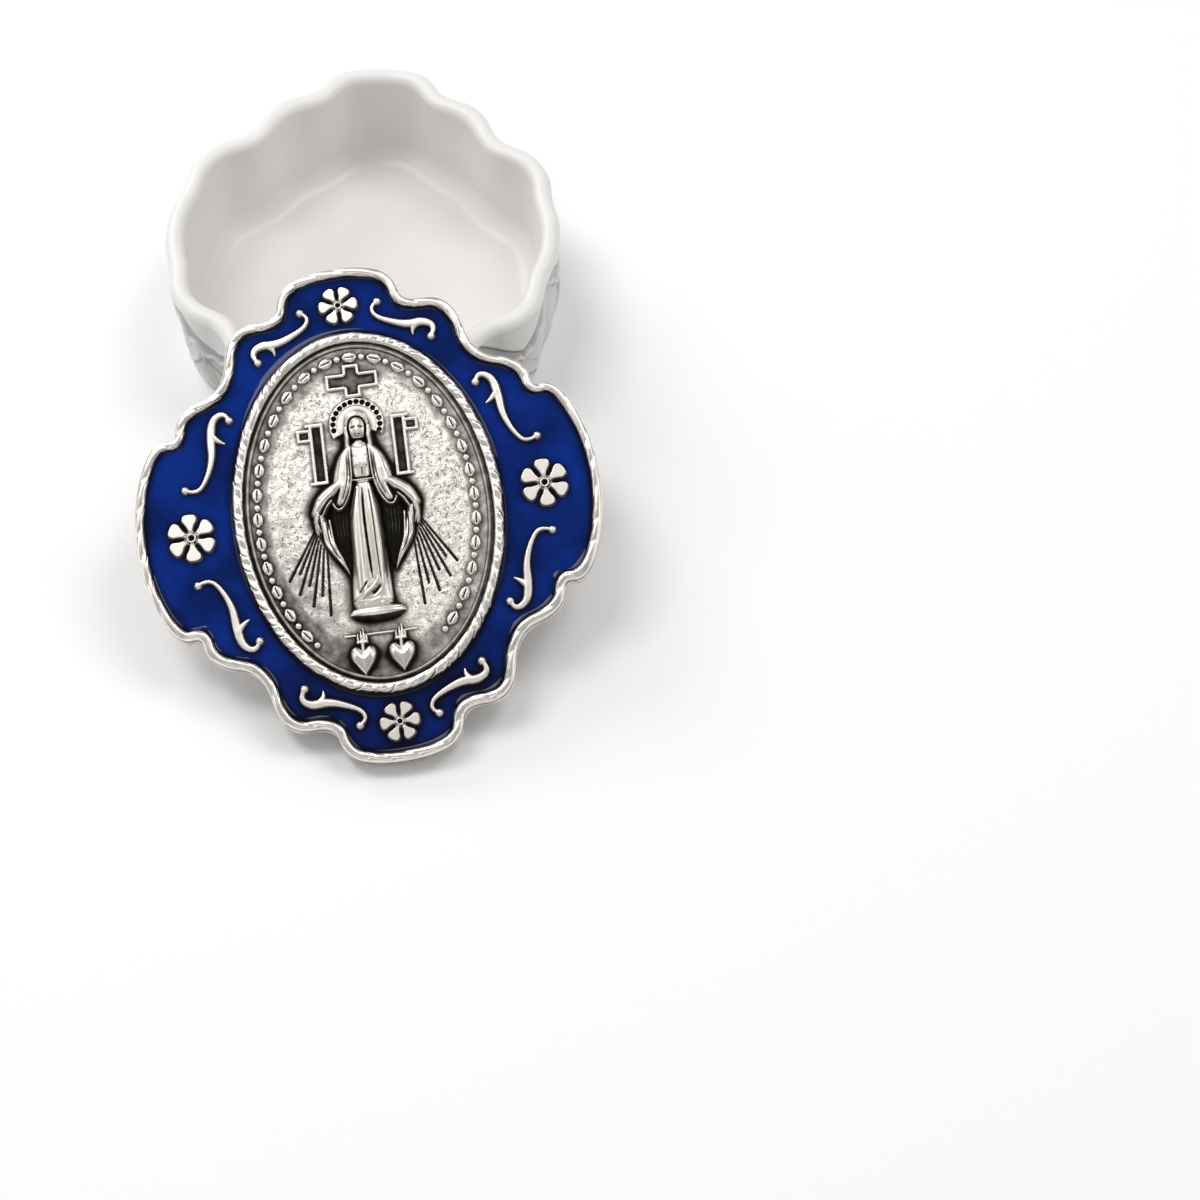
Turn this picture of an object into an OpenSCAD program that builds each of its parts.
// Rosary box: a scalloped porcelain box, standing open, with its enamelled metal lid
// taken off and leaned against the front of the box.
// Origin: centre of the foot, on the table. +Z up, the lid leans on the -Y side.

/* [Box body] */
// Width of the box across its side lobes
body_w = 66.4; // [62:0.2:70]
// Depth of the box across its front and back lobes
body_d = 76.6; // [72:0.2:80]
// Height of the rim above the table
body_h = 22; // [19:0.5:28]
// Thickness of the porcelain wall and of its round lip
wall = 3.2; // [2.4:0.1:3.6]
// Thickness of the porcelain floor
floor_t = 3; // [2.4:0.1:4]
// Height of the flat foot under the bowl
foot_h = 1; // [0.6:0.1:1.6]
// How far the foot stands inside the widest outline
foot_inset = 1.2; // [0.6:0.1:2.4]
// Radius of the hollow between the inside wall and the floor
cove_r = 4; // [2:0.5:6]

/* [Lid casting] */
// Width of the lid across its side lobes
lid_w = 73.6; // [72:0.2:80]
// Length of the lid from top lobe to bottom lobe
lid_l = 80; // [79:0.2:88]
// Thickness of the lid plate
plate_t = 2.2; // [1.6:0.1:3]
// Width of the step outside the raised rim
step_w = 0.3; // [0.2:0.05:0.5]
// Width of the raised rim
rim_w = 1.4; // [1.2:0.1:1.8]
// Height of the raised rim above the plate
rim_h = 1.8; // [1.4:0.1:2.4]
// Depth of the enamel on the plate
enamel_t = 1; // [0.6:0.1:1.2]

/* [Locating ring] */
// Wall of the ring under the lid
ring_t = 1.2; // [0.8:0.1:1.8]
// Depth of the ring under the lid
ring_h = 2.6; // [1.6:0.1:3]
// Gap between the ring and the inside of the box lip
ring_gap = 0.6; // [0.4:0.1:1]

/* [Medallion] */
// Width of the oval medallion
medal_w = 38.8; // [38.8:0.2:40]
// Length of the oval medallion
medal_l = 54.8; // [54.6:0.2:56]
// Turn of the struck design against the oval of the medallion, clockwise
design_turn = 1.8; // [0:0.2:4]
// Shift of the struck design to the left of the medallion's centre
design_shift = 0.3; // [0:0.1:0.5]
// Thickness of the medallion
medal_t = 1.2; // [0.8:0.1:1.6]
// Width of the raised oval bezel round the medallion
bezel_w = 1.9; // [1.4:0.1:2.2]
// Height of the bezel above the plate
bezel_h = 2; // [1.7:0.1:2.6]
// Width of the raised line at the edge of the medallion
border_w = 0.8; // [0.5:0.1:1]
// Height of the raised line at the edge of the medallion
border_h = 0.35; // [0.2:0.05:0.6]
// Number of leaf and bead pairs in the ring of ornament
leaf_pairs = 27; // [18:1:29]
// Distance of the ring of ornament from the edge of the medallion
leaf_inset = 2.3; // [2.2:0.1:2.8]
// Height of the low relief: leaves, rays, frames and halo
relief_h = 0.4; // [0.2:0.05:0.6]

/* [Figure] */
// Height of the robed figure's relief above the medallion
figure_h = 2; // [1.2:0.1:2.6]
// Height of the globe and hearts above the medallion
globe_h = 1.2; // [0.8:0.1:1.8]
// Outer radius of the halo
halo_r = 4.4; // [4.2:0.1:4.5]
// Radius of each dark hole in the halo
halo_hole_r = 0.3; // [0.2:0.05:0.4]
// Width of the raised lines of the cross and the pillars
frame_line = 0.5; // [0.3:0.05:0.6]
// Number of rays from each hand
ray_count = 7; // [5:1:9]

/* [Flowers and scrolls] */
// Height of the flowers and scrolls above the enamel
trim_h = 0.7; // [0.4:0.1:1]
// Reach of a petal of the top and bottom flowers
end_flower_r = 3.2; // [2.6:0.1:3.3]
// Reach of a petal of the side flowers
side_flower_r = 3.9; // [3:0.1:4.1]
// Half the width of a scroll's thin stem
stem_w = 0.32; // [0.2:0.02:0.4]
// Radius of the ball at each end of a scroll
ball_r = 0.64; // [0.5:0.02:0.7]

/* [Leaning lid] */
// Slope of the leaning lid above the table
lid_tilt = 22.6; // [20:0.2:27]
// Turn of the lid about the vertical, against the box
lid_turn = 2.4; // [0:0.2:6]
// Turn of the lid in its own plane
lid_roll = 9.1; // [0:0.1:12]
// Sideways place of the lid's centre
lid_side = 3.4; // [0:0.2:4]
// Gap between the underside of the lid and the lip it leans on
lean_gap = 0.3; // [0.2:0.05:0.6]

/* [Hidden] */
$fn = 32;

porcelain = "whitesmoke";
silver = "silver";
cobalt = "darkblue";

// One quadrant of each lobed outline, from the side lobe to the end lobe, as parts of
// half the width and half the length. The soft curve runs inside these corners.
BODY_LOBES = [
    [1, 0.1], [0.945, 0.235], [0.935, 0.375], [0.82, 0.51], [0.65, 0.56],
    [0.545, 0.78], [0.335, 0.83], [0.257, 0.96], [0.1, 1]
];
LID_LOBES = [
    [1, 0.15], [0.886, 0.415], [0.777, 0.398], [0.761, 0.515], [0.543, 0.57],
    [0.495, 0.83], [0.277, 0.825], [0.253, 0.95], [0.109, 1]
];
curve_steps = 3;  // points on each bend of a lobed outline
oval_steps = 96;  // points round an oval

// ---- Outlines ----

// The four quadrants of a lobed outline, counterclockwise
function all_round(q) = concat(
    q,
    [for (i = [len(q) - 1:-1:0]) [-q[i].x, q[i].y]],
    [for (p = q) [-p.x, -p.y]],
    [for (i = [len(q) - 1:-1:0]) [q[i].x, -q[i].y]]
);
function sized(q, w, l) = [for (p = all_round(q)) [p.x * w / 2, p.y * l / 2]];
function left_of(e) = [-e.y, e.x] / norm(e);
function next_of(v, i) = v[(i + 1) % len(v)];
function last_of(v, i) = v[(i + len(v) - 1) % len(v)];

// Corners moved inwards by d, each edge staying parallel to itself
function inset(v, d) = [
    for (i = [0:len(v) - 1])
        let (n1 = left_of(v[i] - last_of(v, i)), n2 = left_of(next_of(v, i) - v[i]))
        v[i] + (n1 + n2) * d / (1 + n1 * n2)
];
function bend(a, b, c, t) = (1 - t) * (1 - t) * a + 2 * t * (1 - t) * b + t * t * c;

// Closed soft curve that touches the middle of every edge of the corner polygon
function soft(v, n = curve_steps) = [
    for (i = [0:len(v) - 1], k = [0:n - 1])
        bend((last_of(v, i) + v[i]) / 2, v[i], (v[i] + next_of(v, i)) / 2, k / n)
];

// Open soft curve from the first point to the last
function stroke(v, n = 4) = concat([
    for (i = [1:len(v) - 2], k = [0:n - 1])
        bend(i == 1 ? v[0] : (v[i - 1] + v[i]) / 2, v[i],
             i == len(v) - 2 ? v[i + 1] : (v[i] + v[i + 1]) / 2, k / n)
], [v[len(v) - 1]]);
function oval(w, l, d = 0) = [
    for (i = [0:oval_steps - 1])
        let (a = 360 * i / oval_steps)
        [(w / 2 - d) * cos(a), (l / 2 - d) * sin(a)]
];
function ellipse(w, l) = [for (a = [0:15:345]) [w / 2 * cos(a), l / 2 * sin(a)]];
function mirrored(half) = concat(half, [for (i = [len(half) - 1:-1:0]) [-half[i].x, half[i].y]]);
function at_height(p, z) = [for (q = p) [q.x, q.y, z]];

body_edge = sized(BODY_LOBES, body_w, body_d);
lid_edge = sized(LID_LOBES, lid_w, lid_l);
function body_outline(d = 0) = soft(inset(body_edge, d));
function lid_outline(d = 0) = soft(inset(lid_edge, d));

// ---- Solids from outlines ----

// Triangles between two neighbouring rings of n points each
function band(n, lower, upper) = [
    for (i = [0:n - 1])
        let (j = (i + 1) % n)
        each [
            [lower * n + i, upper * n + i, upper * n + j],
            [lower * n + i, upper * n + j, lower * n + j]
        ]
];

// Closed solid through rings, the first and the last one capped
module loft(rings) {
    n = len(rings[0]);
    m = len(rings);
    polyhedron(
        points = [for (r = rings) each r],
        faces = concat(
            [[for (i = [0:n - 1]) i]],
            [for (k = [0:m - 2]) each band(n, k, k + 1)],
            [[for (i = [n - 1:-1:0]) (m - 1) * n + i]]
        )
    );
}

// Closed band through rings, the last ring joined back to the first
module hoop(rings) {
    n = len(rings[0]);
    m = len(rings);
    polyhedron(
        points = [for (r = rings) each r],
        faces = [for (k = [0:m - 1]) each band(n, k, (k + 1) % m)]
    );
}

// Domed relief over an outline, highest at the centre c
module pillow(edge, h, c = [0, 0]) {
    loft([
        for (a = [0:20:80])
            [for (p = edge) [c.x + (p.x - c.x) * cos(a), c.y + (p.y - c.y) * cos(a), h * sin(a)]]
    ]);
}

RIDGE = [[1, 0], [0.75, 0.7], [0, 1], [-0.75, 0.7], [-1, 0]];
// Rounded ridge along a path, w[i] wide to each side and h high
module ridge(path, w, h) {
    m = len(path);
    loft([
        for (i = [0:m - 1])
            let (n = left_of(path[min(i + 1, m - 1)] - path[max(i - 1, 0)]))
            [for (s = RIDGE) [path[i].x + n.x * s.x * w[i], path[i].y + n.y * s.x * w[i], s.y * h]]
    ]);
}
module slab(edge, h) {
    linear_extrude(height = h) polygon(edge);
}

// ---- Where the lid leans ----

lip_r = wall / 2;
downhill = [sin(lid_turn), -cos(lid_turn)];
across = [cos(lid_turn), sin(lid_turn)];
crown_reach = max([for (p = body_outline(lip_r)) p * downhill]);
table_line = crown_reach + (lip_r + lean_gap + (body_h - lip_r) * cos(lid_tilt)) / sin(lid_tilt);
lid_reach = max([for (p = lid_outline()) -(p.x * sin(lid_roll) + p.y * cos(lid_roll))]);
lid_place = downhill * (table_line - lid_reach * cos(lid_tilt)) + across * lid_side;

// From the lid's own frame, underside at z = 0 and top lobe towards +Y, to its place
module on_lid() {
    translate([lid_place.x, lid_place.y, lid_reach * sin(lid_tilt)])
        rotate([0, 0, lid_turn]) rotate([lid_tilt, 0, 0]) rotate([0, 0, lid_roll]) children();
}
module on_plate() {
    on_lid() translate([0, 0, plate_t]) children();
}
module on_enamel() {
    on_plate() translate([0, 0, enamel_t]) children();
}
module on_medal() {
    on_plate() translate([0, 0, medal_t]) children();
}
module on_design() {
    on_medal() translate([-design_shift, 0, 0]) rotate(-design_turn) children();
}

// ---- Box body ----

foot_step = 0.8; // how far the flat foot stands inside the turn of the bowl, and below it
foot_sink = foot_h * 0.6; // how far the bowl runs down into the foot
bowl_slope = 1.4; // how far the bowl's turn widens for each unit of its height
shoulder_h = body_h - lip_r;
// Height and inset of the outside of the bowl, from inside the foot to the lip
outside = [
    [foot_h - foot_sink, foot_inset + (foot_step + foot_sink) * bowl_slope],
    [foot_h + foot_step, foot_inset], [body_h * 0.25, foot_inset * 0.35],
    [body_h * 0.42, foot_inset * 0.1], [body_h * 0.62, 0], [body_h * 0.8, foot_inset * 0.1]
];
module box_body() {
    color(porcelain) union() {
        loft(concat(
            [for (s = outside) at_height(body_outline(s[1]), s[0])],
            [for (a = [0:36:180])
                at_height(body_outline(lip_r - lip_r * cos(a)), shoulder_h + lip_r * sin(a))],
            [for (a = [0:45:90])
                at_height(body_outline(wall + cove_r - cove_r * cos(a)),
                          floor_t + cove_r - cove_r * sin(a))]
        ));
        slab(body_outline(foot_inset + foot_step), foot_h);
    }
}

// ---- Lid casting ----

rim_inner = step_w + rim_w;
module lid_plate() {
    color(silver) on_lid() slab(lid_outline(), plate_t);
}
module locating_ring() {
    color(silver) on_lid() translate([0, 0, -ring_h]) linear_extrude(height = ring_h)
        difference() {
            polygon(body_outline(wall + ring_gap));
            polygon(body_outline(wall + ring_gap + ring_t));
        }
}
module outer_rim() {
    half = rim_w / 2;
    color(silver) on_plate() hoop(concat(
        [at_height(lid_outline(step_w), 0)],
        [for (a = [0:36:180])
            at_height(lid_outline(step_w + half - half * cos(a)), rim_h - half + half * sin(a))],
        [at_height(lid_outline(rim_inner), 0)]
    ));
}
module enamel_field() {
    color(cobalt) on_plate() linear_extrude(height = enamel_t)
        difference() {
            polygon(lid_outline(rim_inner));
            polygon(oval(medal_w, medal_l, -bezel_w));
        }
}

// ---- Medallion ----

module medallion_bezel() {
    half = bezel_w / 2;
    color(silver) on_plate() hoop(concat(
        [at_height(oval(medal_w, medal_l, -bezel_w), 0)],
        [for (a = [0:36:180])
            at_height(oval(medal_w, medal_l, -half - half * cos(a)), bezel_h - half + half * sin(a))],
        [at_height(oval(medal_w, medal_l), 0)]
    ));
}
module medallion() {
    color(silver) on_plate() slab(oval(medal_w, medal_l), medal_t);
}
module medallion_border() {
    color(silver) on_medal() linear_extrude(height = border_h)
        difference() {
            polygon(oval(medal_w, medal_l));
            polygon(oval(medal_w, medal_l, border_w));
        }
}
leaf_l = 2.2;        // length of one leaf of the ring of ornament
leaf_w = 1.8;        // width of the leaf
leaf_bead_r = 0.55;  // radius of the bead between two leaves
ring_gap_angle = 31; // half the angle left free at the bottom of the ring of ornament
LEAF = [[0.5, 0], [0.2, 0.5], [-0.2, 0.45], [-0.5, 0], [-0.2, -0.45], [0.2, -0.5]];
// Angle on an oval of half sizes w and l at which the steps along it come out nearly even
function even_angle(a, w, l) = a + (w - l) / (w + l) * 90 / PI * sin(2 * a);
module ornament_ring() {
    a0 = ring_gap_angle - 90;
    turn = (360 - 2 * ring_gap_angle) / (2 * leaf_pairs);
    hw = medal_w / 2 - leaf_inset;
    hl = medal_l / 2 - leaf_inset;
    color(silver) on_design() for (i = [0:2 * leaf_pairs]) {
        a = even_angle(a0 + turn * i, hw, hl);
        translate([hw * cos(a), hl * sin(a), 0])
            rotate(atan2(hl * cos(a), -hw * sin(a)))
                if (i % 2 == 0)
                    cylinder(h = relief_h, r = leaf_bead_r);
                else
                    slab([for (p = LEAF) [p.x * leaf_l, p.y * leaf_w]], relief_h);
    }
}

// ---- Figure and its surroundings, in the frame of the struck design ----

robe_half = [
    [1.3, -14.7], [3.3, -14.9], [3.2, -12.5], [2.6, -8], [2.7, -2], [2.3, 2], [1.25, 4.8],
    [1.3, 7], [1.2, 9.2], [0.7, 9.7]
];
mantle_edge = [
    [2.4, 9.9], [3.6, 9.2], [4.5, 6.2], [4.9, 4.4], [6.8, 3.6], [8.3, 0.8], [8.2, -2.2], [7, -3.8],
    [6.2, -6.6], [3.7, -10.6], [3.5, -8], [4.9, -3], [3.4, 0.6], [2.7, 2.6], [1.7, 4.8], [1.8, 8]
];
mantle_centre = [5, 0.8];
robe_centre = [0, -4];
head_y = 13.2;
veil_half = [[0.9, 9.9], [2, 10.2], [1.9, 12.4], [2.3, 14.4], [1.6, 16.4], [0.5, 16.8]];
face_w = 2.4;
face_l = 3.2;
face_y = 13.3;
module figure_robe() {
    color(silver) on_design() pillow(soft(mirrored(robe_half), 2), figure_h, robe_centre);
}
module mantle_right() {
    color(silver) on_design() pillow(soft(mantle_edge, 2), figure_h * 0.8, mantle_centre);
}
module mantle_left() {
    color(silver) on_design() mirror([1, 0, 0])
        pillow(soft(mantle_edge, 2), figure_h * 0.8, mantle_centre);
}
module veiled_head() {
    color(silver) on_design() {
        pillow(soft(mirrored(veil_half), 2), figure_h * 0.75, [0, head_y]);
        translate([0, face_y, 0]) pillow(ellipse(face_w, face_l), figure_h);
    }
}
halo_band = 1.4;   // width of the halo's band
halo_open = 62;    // half the angle left free where the figure's shoulders stand
halo_pitch = 15;   // angle from one hole to the next
halo_y = 14;
module halo() {
    reach = 2 * halo_r;
    color(silver) on_design() translate([0, halo_y, 0]) difference() {
        cylinder(h = relief_h, r = halo_r, $fn = 64);
        translate([0, 0, -1]) cylinder(h = relief_h + 2, r = halo_r - halo_band, $fn = 64);
        translate([0, 0, -1]) linear_extrude(height = relief_h + 2)
            polygon([[0, 0], [-reach * sin(halo_open), -reach * cos(halo_open)], [0, -2 * reach],
                     [reach * sin(halo_open), -reach * cos(halo_open)]]);
        for (a = [halo_open - 90 + halo_pitch / 2:halo_pitch:270 - halo_open])
            rotate(a) translate([halo_r - halo_band / 2, 0, -1]) cylinder(h = relief_h + 2, r = halo_hole_r);
    }
}
globe_w = 8.8;
globe_l = 2.6;
globe_y = -16.3;
module globe() {
    color(silver) on_design() translate([0, globe_y, 0])
        pillow(ellipse(globe_w, globe_l), globe_h);
}

// Raised line round a recessed panel
module framed(edge, inner) {
    slab(edge, relief_h / 2);
    linear_extrude(height = relief_h) difference() {
        polygon(edge);
        polygon(inner);
    }
}
function upright(x0, y0, x1, y1, d = 0) = [
    [x0 + d, y0 + d], [x1 - d, y0 + d], [x1 - d, y1 - d], [x0 + d, y1 - d]
];
cross_y = 21.2;
cross_arm = 4.2; // reach of the side arms
cross_up = 2.75; // reach up and down
cross_bar = 1.35; // half the width of each bar
function plus_sign(d = 0) = let (a = cross_arm - d, u = cross_up - d, b = cross_bar - d) [
    [b, -u], [b, -b], [a, -b], [a, b], [b, b], [b, u],
    [-b, u], [-b, b], [-a, b], [-a, -b], [-b, -b], [-b, -u]
];
module cross() {
    color(silver) on_design() translate([0, cross_y, 0])
        framed(plus_sign(), plus_sign(frame_line));
}
pillar_x = 5.3;
pillar_w = 2.4;
pillar_foot = 4.9;
pillar_top = 15;
sill = 0.6; // height and overhang of the pillar's foot and capital
arm_l = 2;  // length of the cross-bar beyond the pillar
arm_y = 12;
arm_w = 2.2;
module pillar() {
    x1 = pillar_x + pillar_w;
    framed(upright(pillar_x, pillar_foot + sill, x1, pillar_top - sill),
           upright(pillar_x, pillar_foot + sill, x1, pillar_top - sill, frame_line));
    slab(upright(pillar_x, pillar_foot, x1 + sill, pillar_foot + sill), relief_h);
    slab(upright(pillar_x, pillar_top - sill, x1 + sill, pillar_top), relief_h);
    framed(upright(x1, arm_y, x1 + arm_l, arm_y + arm_w),
           upright(x1, arm_y, x1 + arm_l, arm_y + arm_w, frame_line));
}
module pillar_right() {
    color(silver) on_design() pillar();
}
module pillar_left() {
    color(silver) on_design() mirror([1, 0, 0]) pillar();
}
ray_from = [6.5, 0.75];
ray_start = 3.7;   // where the outermost ray comes out from under the sleeve
ray_stagger = 3;   // how much further out the innermost ray starts
ray_first = -57.5; // direction of the outermost ray
ray_last = -87;    // direction of the innermost ray
long_ray = 12.4;
short_ray = 10;
ray_growth = 4.2;  // how much further the innermost ray reaches
ray_w = 0.36;
module rays() {
    translate(ray_from) for (i = [0:ray_count - 1]) {
        share = i / (ray_count - 1);
        start = ray_start + ray_stagger * share;
        reach = (i % 2 == 0 ? long_ray : short_ray) + ray_growth * share;
        rotate(ray_first + (ray_last - ray_first) * share)
            slab([[start, -ray_w / 4], [reach, -ray_w / 2], [reach, ray_w / 2], [start, ray_w / 4]],
                 relief_h / 2);
    }
}
module rays_right() {
    color(silver) on_design() rays();
}
module rays_left() {
    color(silver) on_design() mirror([1, 0, 0]) rays();
}
heart_half = [[0, 1.25], [0.9, 2.35], [2.1, 1.7], [2, -0.1], [0, -2.4]];
flame_half = [[0.3, 0], [0.85, 0.5], [0.95, 1.7], [0.5, 1.4], [0.1, 2.8]];
heart_x = 3;
heart_y = -23.5;
flame_y = 2.2;
module heart() {
    half = [for (i = [len(heart_half) - 1:-1:0]) heart_half[i]];
    pillow(soft(mirrored(half), 3), globe_h);
    translate([0, flame_y, 0]) slab(mirrored(flame_half), relief_h);
}
module heart_left() {
    color(silver) on_design() translate([-heart_x, heart_y, 0]) heart();
}
module heart_right() {
    color(silver) on_design() translate([heart_x, heart_y, 0]) heart();
}
bar_w = 0.3;
bar_up = 1.7;     // height of the bar above the foot of the flames
bar_end = 2.6;    // reach of the bar beyond each flame
bar_clear = 1.15; // half the width left free for a flame
module heart_bar() {
    y = heart_y + flame_y + bar_up;
    spans = [
        [-heart_x - bar_end, -heart_x - bar_clear],
        [-heart_x + bar_clear, heart_x - bar_clear],
        [heart_x + bar_clear, heart_x + bar_end]
    ];
    color(silver) on_design() translate([0, y, 0])
        for (s = spans) slab(upright(s[0], -bar_w / 2, s[1], bar_w / 2), relief_h / 2);
}

// ---- Flowers and scrolls on the enamel ----

// Half of one petal as parts of its reach, from the centre of the flower outwards
PETAL = [[0.25, 0.07], [0.55, 0.27], [0.92, 0.28], [1.04, 0.1]];
module flower(r) {
    petal = concat(PETAL, [for (i = [len(PETAL) - 1:-1:0]) [PETAL[i].x, -PETAL[i].y]]);
    edge = [for (i = [len(petal) - 1:-1:0]) petal[i] * r];
    for (a = [0:60:300]) rotate(a) pillow(soft(edge, 2), trim_h, [0.68 * r, 0]);
    cylinder(h = trim_h * 0.6, r = 0.2 * r);
}
// Outer reach of the bezel, and the width of the enamel between it and the rim
bezel_x = medal_w / 2 + bezel_w;
bezel_y = medal_l / 2 + bezel_w;
side_field = lid_w / 2 - rim_inner - bezel_x;
end_field = lid_l / 2 - rim_inner - bezel_y;
// The top and bottom flowers stand in the middle of the enamel, the side flowers nearly so
end_flower = bezel_y + end_field / 2;
side_flower = bezel_x + side_field * 0.4855;
module flower_top() {
    color(silver) on_enamel() translate([0, end_flower, 0]) flower(end_flower_r);
}
module flower_bottom() {
    color(silver) on_enamel() translate([0, -end_flower, 0]) flower(end_flower_r);
}
module flower_right() {
    color(silver) on_enamel() translate([side_flower, 0, 0]) rotate(90) flower(side_flower_r);
}
module flower_left() {
    color(silver) on_enamel() translate([-side_flower, 0, 0]) rotate(90) flower(side_flower_r);
}

// Stem of a scroll between an end flower and the diagonal, then between the diagonal
// and a side flower. The first and last points are the centres of its ball ends.
end_scroll = [
    [6.2, 33.5], [5, 32.8], [5.5, 31.2], [7.8, 30], [10.6, 29], [13.2, 29.3], [14.9, 27.9], [13.9, 26.5]
];
side_scroll = [
    [19.7, 17.9], [20.2, 19.4], [22.4, 18.4], [23, 15.2], [23.1, 12.2], [24.4, 8.9], [26.2, 6.8], [28, 7.7]
];
end_leaf = [[12.6, 29], [10, 29], [11.1, 27.5]];
side_leaf = [[22.4, 16.4], [21, 14.3], [23, 13.6]];
leaf_swell = 1.7; // the stem's width at its leaf against its thin ends
module scroll(path, leaf) {
    line = stroke(path);
    m = len(line) - 1;
    widths = [for (i = [0:m]) stem_w * (1 + (leaf_swell - 1) * sin(180 * i / m))];
    ridge(line, widths, trim_h);
    slab(leaf, trim_h * 0.6);
    for (p = [path[0], path[len(path) - 1]]) translate(p) cylinder(h = trim_h, r = ball_r);
}
// The points are given for a bezel and fields of enamel of this size. On others, each point
// keeps its share of the way from the bezel to the rim.
drawn_bezel = [21.3, 29.3];
drawn_side_field = 13.8;
drawn_end_field = 9;
function bow(t, reach, height) = height * sqrt(1 - pow(t / reach, 2));
function on_side(p) =
    let (share = (p.x - bow(p.y, drawn_bezel.y, drawn_bezel.x)) / drawn_side_field)
    [bow(p.y, bezel_y, bezel_x) + share * side_field, p.y];
function on_end(p) =
    let (share = (p.y - bow(p.x, drawn_bezel.x, drawn_bezel.y)) / drawn_end_field)
    [p.x, bow(p.x, bezel_x, bezel_y) + share * end_field];
module end_scroll_at(side) {
    color(silver) on_enamel() scroll(
        [for (p = end_scroll) let (q = on_end(p)) [q.x * side.x, q.y * side.y]],
        [for (p = end_leaf) let (q = on_end(p)) [q.x * side.x, q.y * side.y]]
    );
}
module side_scroll_at(side) {
    color(silver) on_enamel() scroll(
        [for (p = side_scroll) let (q = on_side(p)) [q.x * side.x, q.y * side.y]],
        [for (p = side_leaf) let (q = on_side(p)) [q.x * side.x, q.y * side.y]]
    );
}
module scroll_upper_right() {
    end_scroll_at([1, 1]);
}
module scroll_upper_left() {
    end_scroll_at([-1, 1]);
}
module scroll_lower_right() {
    end_scroll_at([1, -1]);
}
module scroll_lower_left() {
    end_scroll_at([-1, -1]);
}
module scroll_right_upper() {
    side_scroll_at([1, 1]);
}
module scroll_left_upper() {
    side_scroll_at([-1, 1]);
}
module scroll_right_lower() {
    side_scroll_at([1, -1]);
}
module scroll_left_lower() {
    side_scroll_at([-1, -1]);
}

box_body();
lid_plate();
locating_ring();
outer_rim();
enamel_field();
medallion_bezel();
medallion();
medallion_border();
ornament_ring();
figure_robe();
mantle_left();
mantle_right();
veiled_head();
halo();
globe();
cross();
pillar_left();
pillar_right();
rays_left();
rays_right();
heart_left();
heart_right();
heart_bar();
flower_top();
flower_right();
flower_bottom();
flower_left();
scroll_upper_right();
scroll_right_upper();
scroll_right_lower();
scroll_lower_right();
scroll_lower_left();
scroll_left_lower();
scroll_left_upper();
scroll_upper_left();
